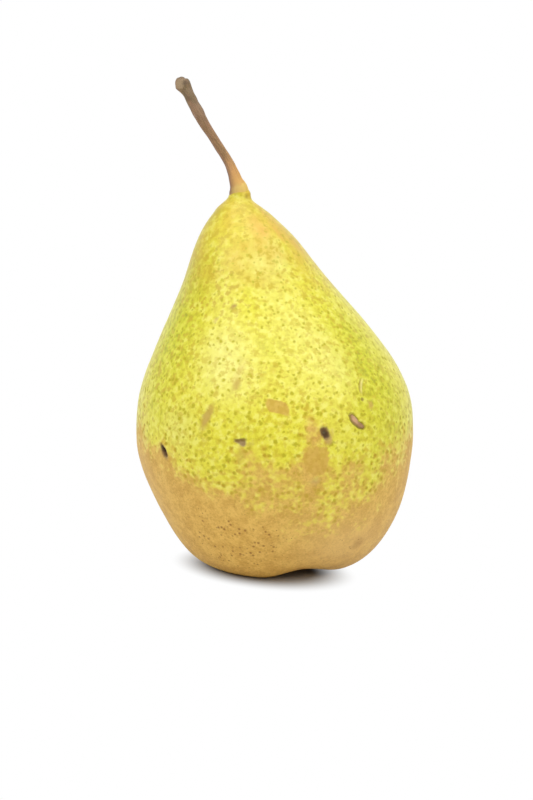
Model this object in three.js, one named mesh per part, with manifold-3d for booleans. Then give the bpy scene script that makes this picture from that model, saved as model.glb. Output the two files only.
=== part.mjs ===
// A pear standing on its blossom end: the fruit, its woody stem, and the dried calyx in the
// basin underneath, which is a cup with withered stamens and five sepals.
// Millimetres, +Z up, front towards -Y. The group is moved at the end so that its origin is on
// the table, under the middle of the whole pear's bounding box.

import * as THREE from "three";
import { mergeVertices } from "three/addons/utils/BufferGeometryUtils.js";
import Module from "manifold-3d";

const { lerp, smoothstep, degToRad, euclideanModulo } = THREE.MathUtils;
const FULL_TURN = 2 * Math.PI;

// The fruit.
const BELLY_RADIUS = 35;
const BELLY_HEIGHT = 32.6;
const DEPTH_SHARE = 0.985; // front to back against side to side
const SKEW = 0.012; // fuller at the front right and back left than at the other two quarters
const NECK_RADIUS = 18.4; // where the outline turns from the belly's curve to the crown's
const NECK_HEIGHT = 71.9;
const NECK_SLANT = degToRad(32.5); // the outline's slant there, from upright
const CROWN_HEIGHT = 92.3; // rim of the stem's seat
const FOOT_RADIUS = 16; // the ring that the fruit stands on
const FOOT_PRESS = 0.3; // how far the foot is pressed flat by the fruit's own weight

// The outline's handles: how far it heads straight on before and after each bend.
const FOOT_HANDLES = [6.5, 11.8]; // level, towards the basin and towards the belly
const BELLY_HANDLES = [8.3, 14.6]; // upright, below and above the widest place
const NECK_HANDLES = [25.3, 7.1]; // along the neck's slant, below and above
const BASIN_HANDLE = [3.2, 0.4]; // outwards and down from the edge of the basin's floor
const SHOULDER = [13.2, 83.7]; // radius and height that the crown's curve heads for
const RIM_ROUNDING = [0.5, 0.2]; // the rim's rounded edge, outwards and down

// The axis leans to -X above the belly and drifts a little to +X below it.
const LEAN = 0.23;
const LEAN_FROM = 52.2;
const LEAN_EASE = 4.1;
const DRIFT = 1.6;
const DRIFT_HEIGHTS = [8, 31];

// Five lobes over the carpels, with a furrow after each.
const LOBES = 5;
const FIRST_LOBE = degToRad(-17); // from the front, towards +X
const LIFTS = [0, 2.1, 0.6, 0.5, 0, 1.2, 0.3, 1, 0, 0]; // lobe, furrow, lobe, ... off the table
const FURROW_INSET = 0.4;
const LOBE_RADII = [4, 14]; // they grow from nothing to full between these radii
const LOBE_FADE = 32; // height at which they have died out

// The basin under the fruit, and the seat on top.
const BASIN_FLOOR = 7.4;
const BASIN_FLOOR_RADIUS = 3.4;
const FLOOR_DOME = 0.2; // how much the two floors bulge
const SEAT_RADIUS = 3.1;
const SEAT_DEPTH = 3.6;
const SEAT_TAPER = 0.7;

// The calyx.
const CUP_RADIUS = 2.6;
const CUP_WALL = 0.7;
const CUP_HEIGHT = 2.1;
const STAMENS = 11;
const SEPAL_HALF_WIDTH = 1.7;
const SEPAL_HALF_THICKNESS = 0.26;

const GAP = 0.3; // between pieces that touch

// Mesh steps.
const COLUMNS = 72;
const OUTLINE_STEPS = { floor: 1, wall: 9, side: 16, shoulder: 12, neck: 12, rim: 2, seat: 2 };

const wasm = await Module();
wasm.setup();

function solidOf(geometry) {
  const bare = geometry.clone();
  bare.deleteAttribute("normal");
  bare.deleteAttribute("uv");
  const merged = mergeVertices(bare);
  const vertProperties = merged.attributes.position.array;
  const triVerts = new Uint32Array(merged.index.array);
  return new wasm.Manifold(new wasm.Mesh({ numProp: 3, vertProperties, triVerts }));
}

function geometryOf(solid) {
  const { vertProperties, triVerts } = solid.getMesh();
  const geometry = new THREE.BufferGeometry();
  geometry.setAttribute("position", new THREE.BufferAttribute(vertProperties, 3));
  return geometry.setIndex(new THREE.BufferAttribute(triVerts, 1));
}

// A profile of (radius, height) turned about the upright axis, with angle 0 at the front.
function turned(profile, columns) {
  return new THREE.LatheGeometry(profile, columns).rotateX(Math.PI / 2);
}

// A closed solid along a smooth line. Each station is [x, y, z, half width, half thickness],
// and its width lies along `across`.
function swept(stations, across, rings, sides) {
  const line = new THREE.CatmullRomCurve3(stations.map(([x, y, z]) => new THREE.Vector3(x, y, z)));
  const size = new THREE.CatmullRomCurve3(
    stations.map(([, , , wide, thick = wide]) => new THREE.Vector3(wide, thick, 0)),
  );
  const points = [line.getPoint(0), line.getPoint(1)];
  const at = (i, j) => 2 + i * sides + (j % sides);
  for (let i = 0; i <= rings; i++) {
    const middle = line.getPoint(i / rings);
    const along = line.getTangent(i / rings);
    const side = across.clone().addScaledVector(along, -across.dot(along)).normalize();
    const out = along.clone().cross(side);
    const half = size.getPoint(i / rings);
    for (let j = 0; j < sides; j++) {
      const turn = (j / sides) * FULL_TURN;
      const point = middle.clone().addScaledVector(side, half.x * Math.cos(turn));
      points.push(point.addScaledVector(out, half.y * Math.sin(turn)));
    }
  }
  const index = [];
  for (let j = 0; j < sides; j++) {
    index.push(0, at(0, j + 1), at(0, j));
    index.push(1, at(rings, j), at(rings, j + 1));
    for (let i = 0; i < rings; i++) {
      index.push(at(i, j), at(i, j + 1), at(i + 1, j + 1));
      index.push(at(i, j), at(i + 1, j + 1), at(i + 1, j));
    }
  }
  return new THREE.BufferGeometry().setFromPoints(points).setIndex(index);
}

function axisAt(height) {
  const lean = LEAN * LEAN_EASE * Math.log(1 + Math.exp((height - LEAN_FROM) / LEAN_EASE));
  return DRIFT * (1 - smoothstep(height, ...DRIFT_HEIGHTS)) - lean;
}

// Half of the fruit's outline: from the middle of the basin round the foot, up the belly and
// the neck, over the crown's rim and down into the stem's seat.
function fruitOutline() {
  const path = new THREE.Path();
  const steps = OUTLINE_STEPS;
  const sin = Math.sin(NECK_SLANT);
  const cos = Math.cos(NECK_SLANT);
  const [footIn, footOut] = FOOT_HANDLES;
  const [bellyDown, bellyUp] = BELLY_HANDLES;
  const [neckDown, neckUp] = NECK_HANDLES;
  const [basinOut, basinDown] = BASIN_HANDLE;
  const [rimOut, rimDown] = RIM_ROUNDING;
  const floorEdge = BASIN_FLOOR - FLOOR_DOME;
  path.moveTo(0, BASIN_FLOOR);
  path.lineTo(BASIN_FLOOR_RADIUS, floorEdge);
  path.bezierCurveTo(
    BASIN_FLOOR_RADIUS + basinOut, floorEdge - basinDown,
    FOOT_RADIUS - footIn, -FOOT_PRESS,
    FOOT_RADIUS, -FOOT_PRESS,
  );
  path.bezierCurveTo(
    FOOT_RADIUS + footOut, -FOOT_PRESS,
    BELLY_RADIUS, BELLY_HEIGHT - bellyDown,
    BELLY_RADIUS, BELLY_HEIGHT,
  );
  path.bezierCurveTo(
    BELLY_RADIUS, BELLY_HEIGHT + bellyUp,
    NECK_RADIUS + neckDown * sin, NECK_HEIGHT - neckDown * cos,
    NECK_RADIUS, NECK_HEIGHT,
  );
  path.bezierCurveTo(
    NECK_RADIUS - neckUp * sin, NECK_HEIGHT + neckUp * cos,
    ...SHOULDER,
    SEAT_RADIUS + rimOut, CROWN_HEIGHT - rimDown,
  );
  path.quadraticCurveTo(
    SEAT_RADIUS, CROWN_HEIGHT + rimDown / 2,
    SEAT_RADIUS - rimDown, CROWN_HEIGHT - 3 * rimDown,
  );
  path.lineTo(SEAT_RADIUS - SEAT_TAPER, CROWN_HEIGHT - SEAT_DEPTH);
  path.lineTo(0, CROWN_HEIGHT - SEAT_DEPTH - FLOOR_DOME);
  const counts = [
    steps.floor, steps.wall, steps.side, steps.shoulder, steps.neck, steps.rim, steps.seat, steps.floor,
  ];
  return path.curves.flatMap((curve, i) => curve.getPoints(counts[i]).slice(i ? 1 : 0));
}

function liftAt(angle) {
  const turn = ((angle - FIRST_LOBE) / FULL_TURN) * LIFTS.length;
  const here = Math.floor(turn);
  const [from, to] = [here, here + 1].map((i) => LIFTS[euclideanModulo(i, LIFTS.length)]);
  return lerp(from, to, smoothstep(turn - here, 0, 1));
}

function fruit() {
  const geometry = turned(fruitOutline(), COLUMNS);
  const position = geometry.attributes.position;
  for (let i = 0; i < position.count; i++) {
    const height = position.getZ(i);
    const radius = Math.hypot(position.getX(i), position.getY(i));
    const angle = Math.atan2(position.getX(i), -position.getY(i));
    const lobed = smoothstep(radius, ...LOBE_RADII) * (1 - smoothstep(height, 0, LOBE_FADE));
    const furrow = (1 - Math.cos(LOBES * (angle - FIRST_LOBE))) / 2;
    const skew = SKEW * Math.sin(2 * angle) * smoothstep(radius, LOBE_RADII[0], BELLY_RADIUS);
    const wide = radius * (1 + skew) - FURROW_INSET * furrow * lobed;
    position.setX(i, wide * Math.sin(angle) + axisAt(height));
    position.setY(i, -wide * Math.cos(angle) * DEPTH_SHARE);
    position.setZ(i, Math.max(0, height + lobed * liftAt(angle)));
  }
  return geometry;
}

// The stem stands in the seat on a peg. It flares at the crown, slims to a shaft that swings
// over to -X, thickens at an old bud scar and ends in the swelling where it left the twig.
function stem() {
  const footX = axisAt(CROWN_HEIGHT);
  const stations = [
    [0.75, 0, GAP - SEAT_DEPTH, 1.9],
    [0.27, 0, -0.6, 2.35],
    [0.36, 0, 1.6, 2.46],
    [0.18, 0, 3, 2.2],
    [-0.44, 0.1, 4.7, 1.68],
    [-1.12, 0.2, 6.7, 1.4],
    [-2.22, 0.4, 9.2, 1.17],
    [-6.02, 1, 15.2, 1.12],
    [-8.23, 1.3, 18.6, 1.22],
    [-9.7, 1.5, 21.2, 1.31],
    [-11.23, 1.7, 24.2, 1.37],
    [-11.92, 1.8, 25.5, 1.36],
    [-12.56, 1.9, 26.6, 1.54],
    [-13.52, 2, 28.3, 1.85],
    [-14.15, 2.1, 29.2, 1.4],
    [-14.4, 2.1, 29.95, 0.65],
  ];
  const placed = stations.map(([x, y, z, half]) => [x + footX, y, z + CROWN_HEIGHT, half]);
  return swept(placed, new THREE.Vector3(0, 1, 0), 44, 16);
}

// The cup opens towards the table. The withered stamens and styles stand in it.
function calyxCup() {
  const top = BASIN_FLOOR - FLOOR_DOME - GAP;
  const floor = top - CUP_WALL;
  const rim = top - CUP_HEIGHT;
  const outline = [
    [0, floor],
    [CUP_RADIUS - CUP_WALL - 0.2, floor],
    [CUP_RADIUS - CUP_WALL, rim + 0.2],
    [CUP_RADIUS - CUP_WALL / 2, rim],
    [CUP_RADIUS, rim + 0.3],
    [CUP_RADIUS - 0.1, top],
    [0, top],
  ];
  let cup = solidOf(turned(outline.map(([r, z]) => new THREE.Vector2(r, z)), 28));
  for (let i = 0; i < STAMENS; i++) {
    const turn = (i / STAMENS) * FULL_TURN;
    const [sin, cos] = [Math.sin(turn), Math.cos(turn)];
    const bend = Math.sin(3.7 * i);
    const stations = [
      [0.95 * cos, 0.95 * sin, floor + 0.25, 0.22],
      [(1.05 + 0.1 * bend) * cos, (1.05 + 0.1 * bend) * sin, floor - 1, 0.17],
      [1.1 * cos - 0.5 * bend * sin, 1.1 * sin + 0.5 * bend * cos, floor - 2 - 0.4 * bend, 0.14],
      [0.8 * cos - 0.9 * bend * sin, 0.8 * sin + 0.9 * bend * cos, floor - 2.5 - 0.4 * bend, 0.24],
    ];
    cup = cup.add(solidOf(swept(stations, new THREE.Vector3(-sin, cos, 0), 6, 6)));
  }
  return geometryOf(cup);
}

// One sepal, dried and spread against the basin's wall with its tip curled to the table.
function sepal(index) {
  const angle = FIRST_LOBE + ((index + 0.5) / LOBES) * FULL_TURN;
  const outward = new THREE.Vector3(Math.sin(angle), -Math.cos(angle), 0);
  const across = new THREE.Vector3(Math.cos(angle), Math.sin(angle), 0.12 * Math.sin(5 * index + 1));
  const reach = 1 + 0.09 * Math.cos(2.3 * index);
  const base = CUP_RADIUS + GAP;
  const wide = SEPAL_HALF_WIDTH;
  const thick = SEPAL_HALF_THICKNESS;
  const stations = [
    [base, 6.25, wide * 0.8, thick * 0.9],
    [base + 0.9 * reach, 6, wide, thick],
    [base + 2.4 * reach, 5.1, wide * 0.8, thick],
    [base + 3.7 * reach, 3.9, wide * 0.45, thick * 0.9],
    [base + 4.3 * reach, 2.9, wide * 0.2, thick * 0.7],
    [base + 4.4 * reach, 2.2, 0.12, 0.12],
  ];
  const placed = stations.map(([out, z, half, flat]) => {
    const { x, y } = outward.clone().multiplyScalar(out);
    return [x, y, z, half, flat];
  });
  return swept(placed, across.normalize(), 12, 10);
}

const pear = new THREE.Group();

function add(name, geometry, color, roughness) {
  const mesh = new THREE.Mesh(geometry, new THREE.MeshStandardMaterial({ color, roughness }));
  mesh.name = name;
  pear.add(mesh);
  return mesh;
}

add("fruit", fruit(), 0xd6cc55, 0.45);
add("stem", stem(), 0x8b6a48, 0.75);
const calyx = [add("calyx_cup", calyxCup(), 0x4a3826, 0.9)];
for (let i = 0; i < LOBES; i++) {
  calyx.push(add(`sepal_${i + 1}`, sepal(i), 0x54402b, 0.9));
}
for (const piece of calyx) {
  piece.position.x = axisAt(BASIN_FLOOR);
}

const box = new THREE.Box3().setFromObject(pear);
const middle = box.getCenter(new THREE.Vector3());
pear.position.set(-middle.x, -middle.y, -box.min.z);

export default pear;
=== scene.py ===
"""The looks of a pear that stands on its blossom end on a white table: its skin with russet, lenticels,
pits and scars, the fleshy collar round its stem, the stem's bark and the dried calyx underneath.
Lengths are in units of a 70th of the fruit's width, which is a millimetre on this pear, unless a
comment says otherwise."""

import math

import bmesh
import bpy
import numpy as np
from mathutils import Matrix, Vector, noise


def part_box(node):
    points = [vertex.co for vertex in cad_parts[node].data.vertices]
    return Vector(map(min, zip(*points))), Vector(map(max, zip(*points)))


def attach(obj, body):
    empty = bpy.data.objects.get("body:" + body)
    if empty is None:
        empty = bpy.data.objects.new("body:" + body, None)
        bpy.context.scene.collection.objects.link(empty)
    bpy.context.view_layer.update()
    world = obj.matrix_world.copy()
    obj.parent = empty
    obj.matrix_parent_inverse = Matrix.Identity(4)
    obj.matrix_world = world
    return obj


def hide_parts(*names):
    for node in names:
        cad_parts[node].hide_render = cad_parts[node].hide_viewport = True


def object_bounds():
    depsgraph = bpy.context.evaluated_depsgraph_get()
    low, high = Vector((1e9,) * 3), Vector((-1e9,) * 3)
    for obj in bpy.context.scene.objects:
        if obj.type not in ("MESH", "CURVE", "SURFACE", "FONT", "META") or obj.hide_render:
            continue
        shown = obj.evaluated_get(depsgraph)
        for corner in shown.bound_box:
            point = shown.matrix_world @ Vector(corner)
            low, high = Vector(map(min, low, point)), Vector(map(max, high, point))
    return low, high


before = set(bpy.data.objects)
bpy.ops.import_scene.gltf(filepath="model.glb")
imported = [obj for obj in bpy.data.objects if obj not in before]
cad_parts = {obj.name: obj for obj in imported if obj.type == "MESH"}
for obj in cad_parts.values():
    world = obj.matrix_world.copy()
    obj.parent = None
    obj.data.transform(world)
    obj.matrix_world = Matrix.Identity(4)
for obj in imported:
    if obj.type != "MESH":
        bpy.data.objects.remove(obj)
cad_low, cad_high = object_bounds()

fruit_low, fruit_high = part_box("fruit")
UNIT = (fruit_high.x - fruit_low.x) / 70
UP = np.array([0.0, 0.0, 1.0])
FRONT = np.array([0.0, -1.0, 0.0])

# ---------------------------------------------------------------- numbers


def smooth(value, low, high):
    """0 at low, 1 at high and an S-curve between them."""
    t = np.clip((value - low) / (high - low), 0, 1)
    return t * t * (3 - 2 * t)


def bump(value, middle, width):
    """1 at the middle, and fading out over about the width on both sides."""
    return np.exp(-(((value - middle) / width) ** 2))


def turn_between(angles, middle):
    """Degrees from the middle, the short way round."""
    return (angles - middle + 180) % 360 - 180


def waves(points, wavelength, shift=0.0):
    """Smooth noise from -1 to 1 at each point."""
    return np.array([noise.noise(Vector(p) / wavelength + Vector((shift, 0, 0))) for p in points])


def layered_waves(points, *layers):
    """The sum of several noises, each with its strength, wavelength and shift."""
    return sum(strength * waves(points, wavelength, shift) for strength, wavelength, shift in layers)


def unit(vectors):
    return vectors / np.maximum(np.linalg.norm(vectors, axis=-1, keepdims=True), 1e-12)


# ---------------------------------------------------------------- surfaces as grids


def rings_of(node, upright):
    """A CAD solid's rings from its lowest pole to its highest, as (ring, column, xyz) in units.
    Columns start at the back and go round by the left, the front and the right."""
    solid = bmesh.new()
    solid.from_mesh(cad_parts[node].data)
    bmesh.ops.remove_doubles(solid, verts=solid.verts, dist=0.002 * UNIT)
    poles = sorted(solid.verts, key=lambda v: -len(v.link_edges))[:2]
    layers = [{min(poles, key=lambda v: v.co.z)}]
    seen = set(layers[0])
    while True:
        found = {e.other_vert(v) for v in layers[-1] for e in v.link_edges} - seen
        if not found:
            break
        seen |= found
        layers.append(found)
    layers = [np.array([v.co for v in layer]) / UNIT for layer in layers]
    solid.free()
    centres = np.array([layer.mean(0) for layer in layers])
    count = len(layers[1])
    before = (np.arange(count) / count * 2 - 1) * math.pi
    rings = np.empty((len(layers), count, 3))
    for i, layer in enumerate(layers):
        if len(layer) == 1:
            rings[i] = layer[0]
            continue
        along = UP if upright else unit(centres[i + 1] - centres[i - 1])
        front = unit(FRONT - along * (FRONT @ along))
        right = np.cross(along, front)
        spokes = (layer - centres[i]) @ np.stack([front, right], 1)
        spreads, axes = np.linalg.eigh(spokes.T @ spokes)
        rounded = spokes @ axes / np.sqrt(spreads) @ axes.T  # a flat ring made circular
        turn = np.arctan2(rounded[:, 1], rounded[:, 0])
        order = np.argsort(turn)
        rolls = [np.roll(order, k) for k in range(count)]
        misfits = [np.abs(np.angle(np.exp(1j * (turn[roll] - before)))).sum() for roll in rolls]
        order = rolls[int(np.argmin(misfits))]
        rings[i] = layer[order]
        before = turn[order]
    return rings


def more_columns(rings, count):
    """The rings with this many columns, on the smooth closed curve through each ring's points."""
    had = rings.shape[1]
    waves_found = np.fft.rfft(rings, axis=1)
    waves_found[:, -1] /= 2
    padded = np.zeros((len(rings), count // 2 + 1, 3), complex)
    padded[:, : waves_found.shape[1]] = waves_found
    return np.fft.irfft(padded, count, axis=1) * (count / had)


def distances(rings):
    steps = np.linalg.norm(np.diff(rings, axis=0), axis=2).mean(1)
    return np.concatenate([[0], np.cumsum(steps)])


def more_rings(rings, knots, places):
    """The surface at these places along it, on smooth curves through the rings at their knots."""
    gaps = np.diff(knots)[:, None, None]
    slopes = np.diff(rings, axis=0) / gaps
    tangents = np.empty_like(rings)
    tangents[1:-1] = (slopes[:-1] * gaps[1:] + slopes[1:] * gaps[:-1]) / (gaps[:-1] + gaps[1:])
    tangents[0], tangents[-1] = slopes[0], slopes[-1]
    i = np.clip(np.searchsorted(knots, places, side="right") - 1, 0, len(knots) - 2)
    gap = gaps[i]
    t = ((places - knots[i]) / gap[:, 0, 0])[:, None, None]
    return (
        (1 + 2 * t) * (1 - t) ** 2 * rings[i]
        + t * (1 - t) ** 2 * gap * tangents[i]
        + t * t * (3 - 2 * t) * rings[i + 1]
        - t * t * (1 - t) * gap * tangents[i + 1]
    )


def normals_of(grid):
    across = np.roll(grid, -1, 1) - np.roll(grid, 1, 1)
    return unit(np.cross(across, np.gradient(grid, axis=0)))


def sample(grid, rows, columns):
    """The grid between its points, by cubic curves. Its columns close on themselves."""

    def weights(t):
        return (
            ((2 - t) * t - 1) * t / 2,
            ((3 * t - 5) * t * t + 2) / 2,
            ((4 - 3 * t) * t + 1) * t / 2,
            (t - 1) * t * t / 2,
        )

    row, column = np.floor(rows).astype(int), np.floor(columns).astype(int)
    found = np.zeros((len(rows), grid.shape[2]))
    for i, row_weight in enumerate(weights(rows - row)):
        for j, column_weight in enumerate(weights(columns - column)):
            at_row = np.clip(row + i - 1, 0, len(grid) - 1)
            at_column = (column + j - 1) % grid.shape[1]
            found += (row_weight * column_weight)[:, None] * grid[at_row, at_column]
    return found


def grid_faces(rows, columns, fine=None, cuts=1):
    """Faces of a closed grid whose first and last row are poles, with the fine cells cut up.
    Gives the vertices' places and, for each face, its vertices and their places before wrapping."""
    index = {}
    places = []
    faces = []
    corners = []
    if fine is None:
        fine = np.zeros((rows - 1, columns), bool)

    def vertex(row, column):
        key = (row, column % (columns * cuts))
        if key not in index:
            index[key] = len(places)
            places.append(key)
        return index[key]

    def face(loop):
        faces.append([vertex(*place) for place in loop])
        corners.append(loop)

    poles = [vertex(0, 0), vertex((rows - 1) * cuts, 0)]
    for i in range(rows - 1):
        for j in range(columns):
            r = i * cuts
            c = j * cuts
            if i == 0:
                faces.append([poles[0], vertex(cuts, c + cuts), vertex(cuts, c)])
                corners.append([(0, c + cuts / 2), (cuts, c + cuts), (cuts, c)])
            elif i == rows - 2:
                faces.append([poles[1], vertex(r, c), vertex(r, c + cuts)])
                corners.append([(r + cuts, c + cuts / 2), (r, c), (r, c + cuts)])
            elif fine[i, j]:
                for a in range(r, r + cuts):
                    for b in range(c, c + cuts):
                        face([(a, b), (a, b + 1), (a + 1, b + 1), (a + 1, b)])
            else:
                loop = []
                sides = [
                    (fine[i - 1, j], (r, c), (0, 1)),
                    (fine[i, (j + 1) % columns], (r, c + cuts), (1, 0)),
                    (fine[i + 1, j], (r + cuts, c + cuts), (0, -1)),
                    (fine[i, j - 1], (r + cuts, c), (-1, 0)),
                ]
                for cut, (row, column), (down, along) in sides:
                    steps = range(cuts) if cut else [0]
                    loop += [(row + down * k, column + along * k) for k in steps]
                face(loop)
    return np.array(places), faces, corners


def piece_from(name, points, faces, corners, columns, cuts, lengths, fields):
    """A smooth-shaded piece from points in units, with fields of numbers or colours on its points.
    Its map goes once round it and once along it."""
    mesh = bpy.data.meshes.new(name)
    mesh.from_pydata((points * UNIT).tolist(), [], faces)
    flat = np.array([place for loop in corners for place in loop], float)
    across = flat[:, 1] / (columns * cuts)
    along = np.interp(flat[:, 0], np.arange(len(lengths)) * cuts, lengths / lengths[-1])
    layer = mesh.uv_layers.new(name="OFBake")
    layer.uv.foreach_set("vector", np.stack([across, along], 1).astype(np.float32).ravel())
    for field, values in fields.items():
        kind = "FLOAT" if values.ndim == 1 else "FLOAT_COLOR"
        attribute = mesh.attributes.new(field, kind, "POINT")
        if kind == "FLOAT":
            attribute.data.foreach_set("value", values.astype(np.float32))
        else:
            attribute.data.foreach_set("color", values.astype(np.float32).ravel())
    mesh.shade_smooth()
    mesh.validate()
    made = bpy.data.objects.new(name, mesh)
    bpy.context.scene.collection.objects.link(made)
    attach(made, "root")
    return made


# ---------------------------------------------------------------- materials


def paint(red, green, blue):
    """A colour as seen on a screen, from 0 to 255, as the shader wants it."""
    shares = [c / 255 for c in (red, green, blue)]
    linear = [c / 12.92 if c < 0.0405 else ((c + 0.055) / 1.055) ** 2.4 for c in shares]
    return (*linear, 1.0)


class Shader:
    """Short ways to build one material's nodes. Sockets and plain values mix freely."""

    def __init__(self, name):
        self.material = bpy.data.materials.new(name)
        self.material.use_nodes = True
        self.tree = self.material.node_tree
        self.tree.nodes.clear()
        self.place = self.move(self.node("TexCoord").outputs["Object"], "SCALE", 1 / UNIT)

    def put(self, socket, value):
        if isinstance(value, bpy.types.NodeSocket):
            self.tree.links.new(value, socket)
        else:
            socket.default_value = value

    def node(self, kind, inputs=None, **settings):
        made = self.tree.nodes.new("ShaderNode" + kind)
        for key, value in settings.items():
            setattr(made, key, value)
        for key, value in (inputs or {}).items():
            self.put(made.inputs[key], value)
        return made

    def math(self, operation, a, b=0.0, clamp=False):
        return self.node("Math", {0: a, 1: b}, operation=operation, use_clamp=clamp).outputs[0]

    def move(self, vector, operation, by):
        made = self.node("VectorMath", {0: vector}, operation=operation)
        self.put(made.inputs["Scale" if operation == "SCALE" else 1], by)
        return made.outputs[0]

    def step(self, value, low, high, start=0.0, end=1.0):
        """Start at low, end at high and an S-curve between them."""
        inputs = {"Value": value, "From Min": low, "From Max": high, "To Min": start, "To Max": end}
        return self.node("MapRange", inputs, interpolation_type="SMOOTHSTEP").outputs[0]

    def spread(self, value, by):
        """A pattern from 0 to 1 as one that is this wide and has its middle at 0."""
        return self.math("MULTIPLY", self.math("SUBTRACT", value, 0.5), by)

    def blend(self, share, a, b):
        """Colour a, with this share of colour b."""
        return self.node("Mix", {0: share, 6: a, 7: b}, data_type="RGBA").outputs[2]

    def read(self, name, output="Fac"):
        return self.node("Attribute", attribute_name=name).outputs[output]

    def noise(self, vector, wavelength, detail=2.0, roughness=0.5, output="Fac"):
        inputs = {"Vector": vector, "Scale": 1 / wavelength, "Detail": detail, "Roughness": roughness}
        return self.node("TexNoise", inputs).outputs[output]

    def shaken(self, vector, wavelength, by):
        """The vector with its pattern's places shaken a little."""
        centred = self.move(self.noise(vector, wavelength, output="Color"), "SUBTRACT", (0.5, 0.5, 0.5))
        return self.move(vector, "ADD", self.move(centred, "SCALE", 2 * by))

    def elsewhere(self, shift):
        """The surface's place, moved so that two patterns of one kind don't line up."""
        return self.move(self.place, "ADD", shift)

    def cells(self, vector, size):
        """Distance to the nearest of many scattered points, in units."""
        inputs = {"Vector": vector, "Scale": 1 / size}
        found = self.node("TexVoronoi", inputs).outputs["Distance"]
        return self.math("MULTIPLY", found, size)

    def finish(self, colour, roughness, relief, **settings):
        """Relief is in units."""
        normal = self.node("Bump", {"Height": relief, "Distance": UNIT, "Strength": 1.0}).outputs[0]
        inputs = {"Base Color": colour, "Roughness": roughness, "Normal": normal, **settings}
        shader = self.node("BsdfPrincipled", inputs).outputs[0]
        self.tree.links.new(shader, self.node("OutputMaterial").inputs["Surface"])
        return self.material


# ---------------------------------------------------------------- the stem's grid

STEM_COLUMNS = 80
STEM_STEP = 0.14

stem_rings = rings_of("stem", upright=False)
stem_knots = distances(stem_rings)
stem_places = np.linspace(0, stem_knots[-1], round(stem_knots[-1] / STEM_STEP))
stem_grid = more_rings(more_columns(stem_rings, STEM_COLUMNS), stem_knots, stem_places)
stem_centres = stem_grid.mean(1)
stem_radii = np.linalg.norm(stem_grid - stem_centres[:, None], axis=2).mean(1)

# ---------------------------------------------------------------- the fruit's grid

COLUMNS = 288
BODY_STEP = 0.78
CROWN_STEP = 0.3
FINER_FROM = 12  # distance below the collar where its rows start to get closer
FINEST_FROM = 2
COLLAR_FROM = 5.2  # distance from the fruit's axis where the collar leaves the CAD's outline
COLLAR_ROWS = 26
CUTS = 6  # a cell near a mark is cut into this many each way

cad_rings = rings_of("fruit", upright=True)
radii = np.linalg.norm((cad_rings - cad_rings.mean(1, keepdims=True))[:, :, :2], axis=2).mean(1)
widest = radii.argmax()
body_rings = cad_rings[: widest + np.flatnonzero(radii[widest:] > COLLAR_FROM)[-1] + 1]
crown = cad_rings[:, :, 2].max()

knots = distances(body_rings)
places = [0.0]
while places[-1] < knots[-1]:
    finer = smooth(places[-1], knots[-1] - FINER_FROM, knots[-1] - FINEST_FROM)
    places.append(places[-1] + BODY_STEP + (CROWN_STEP - BODY_STEP) * finer)
places = np.array(places) * (knots[-1] / places[-1])
body_grid = more_rings(more_columns(body_rings, COLUMNS), knots, places)

angles = np.arange(COLUMNS) / COLUMNS * 360 - 180  # from the front, towards +X
on_right = bump(turn_between(angles, 90), 0, 52)
on_left = bump(turn_between(angles, -90), 0, 50)


def by_side(front, left, right):
    """One value for each column: this much in front, with these added on the left and the right."""
    return front + left * on_left + right * on_right


def round_stem(above, clear):
    """A ring of points this far outside the stem, each at its column's height above the crown."""
    heights = stem_centres[:, 2]
    middles = np.stack([np.interp(crown + above, heights, stem_centres[:, k]) for k in range(3)], 1)
    reach = np.interp(crown + above, heights, stem_radii) + clear
    turn = np.radians(angles)
    spokes = np.stack([np.sin(turn), -np.cos(turn), 0 * turn], 1)
    return middles + spokes * reach[:, None]


# The flesh climbs the stem: gently in front, in a sharp crease on the left, and with a lip on
# the right that overhangs a small dimple. Each ring has its height above the crown and then its
# distance outside the stem, both as by_side takes them.
CREASE = ((0.45, 0.35, 0.05), (0.75, -0.5, -0.05))
LIP = ((1.1, 0.1, -0.1), (0.32, -0.2, 0.2))
BROW = ((1.7, -0.5, 0.2), (0.14, -0.06, 0.22))
BRIM = ((2.3, -1.1, 0.7), (-0.06, 0, 0))
STEM_INSIDE = 0.8  # height above the crown where the flesh closes, inside the stem

climbing = [round_stem(by_side(*above), by_side(*clear)) for above, clear in (CREASE, LIP, BROW, BRIM)]
collar_rings = np.stack([body_grid[-2], body_grid[-1], *climbing])
collar_knots = distances(collar_rings)
collar_places = np.linspace(collar_knots[1], collar_knots[-1], COLLAR_ROWS + 1)[1:]
collar_grid = more_rings(collar_rings, collar_knots, collar_places)
# The last rows turn down under the brim and close inside the stem.
inside = stem_centres[np.searchsorted(stem_centres[:, 2], crown + STEM_INSIDE)]
tucked = collar_grid[-1] * 0.7 + inside * 0.3 - 0.3 * UP
grid = np.concatenate([body_grid, collar_grid, tucked[None], np.broadcast_to(inside, (1, COLUMNS, 3))])
lengths = distances(grid)

# ---------------------------------------------------------------- marks on the skin

# Each mark has its azimuth in degrees from the front towards +X, its height, its half length, its
# half width, and the turn of its long side from level, anticlockwise.
PIT = (19.9, 39.4, 1.75, 1.1, -66)
SLIT = (-51.3, 32.6, 1.95, 0.98, -57)
SCAR_HEAD = (33.2, 41.9, 1.8, 0.92, -54)
SCAR_FOOT = (35.6, 40.5, 1.6, 0.78, -26)
SCAB = (-13.8, 37.5, 1.4, 0.62, -4)
SCAB_POINT = (-12.9, 37.1, 0.85, 0.8, 0)
CRESCENT = (40.8, 49.6, 1.9, 0.6, 62)
SPECK = (39.2, 46.4, 0.5, 0.45, 0)
OVAL_MARKS = (PIT, SLIT, SCAR_HEAD, SCAR_FOOT, SCAB, SCAB_POINT, SPECK)
MARK_MARGIN = 0.9  # how far outside a mark the skin's cells are cut up
MARK_DEPTH = 6  # a point this far under a mark's middle is off the mark, round the fruit
OFF_THE_MARK = 99.0
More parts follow.
